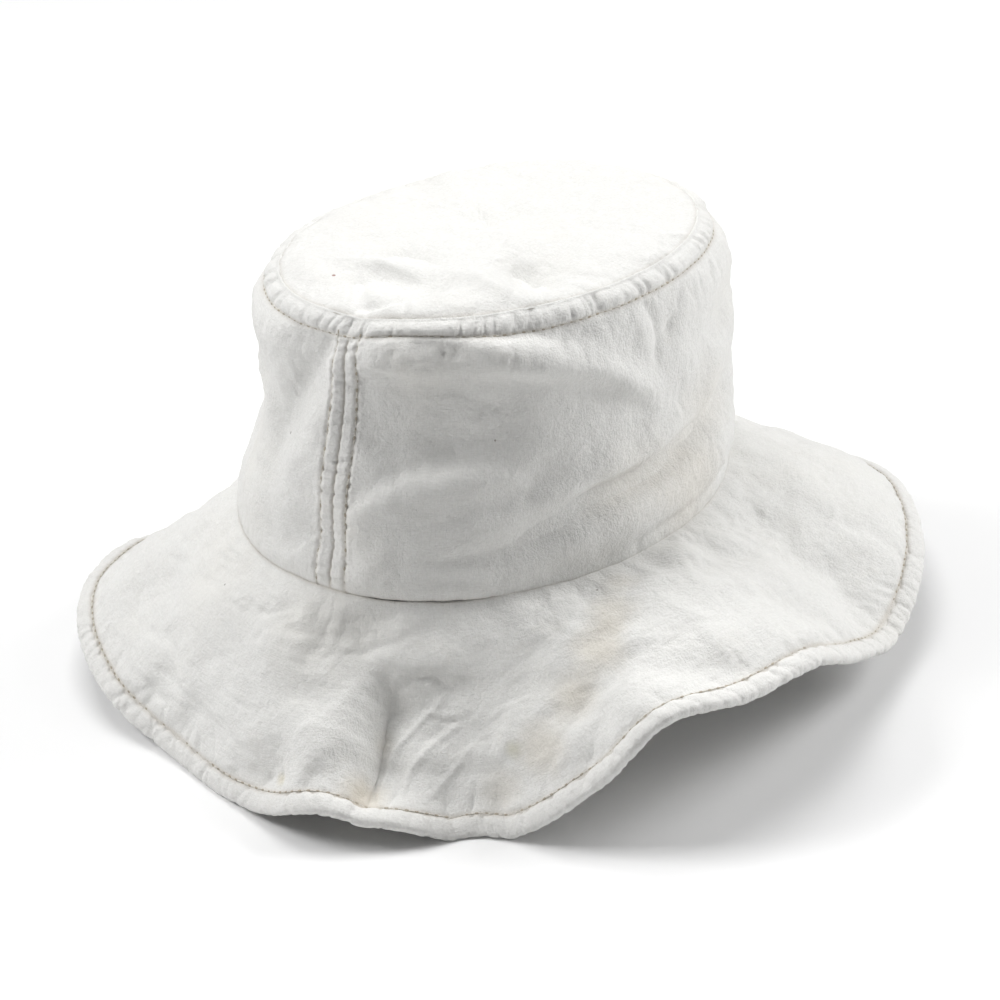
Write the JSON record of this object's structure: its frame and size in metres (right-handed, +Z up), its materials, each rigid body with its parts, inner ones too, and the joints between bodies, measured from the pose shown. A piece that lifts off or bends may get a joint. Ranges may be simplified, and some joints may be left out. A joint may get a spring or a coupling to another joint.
{
  "type": "sun hat",
  "caption": "Soft padded cotton sun hat with an oval top, an upright side panel and a wide limp brim with a stitched edge strip, lying on its brim.",
  "frame": {"origin": "on the surface that the hat lies on, under the middle of the hat's bounding box", "axes": "+Z up out of that surface and through the crown's top, the long way of the head opening along Y with the front at -Y, +X to the right side seen from behind"},
  "size_m": [0.307, 0.3124, 0.1692],
  "materials": {
    "crown_cotton": "soft brushed off-white cotton with a fine heathered weave",
    "brim_cotton": "soft brushed off-white cotton, a little soiled in its folds",
    "binding_cotton": "off-white cotton strip with small bias wrinkles"
  },
  "bodies": {
    "root": {"crown_top": "crown_cotton", "crown_side": "crown_cotton", "brim": "brim_cotton", "brim_binding": "binding_cotton"}
  },
  "joints": []
}
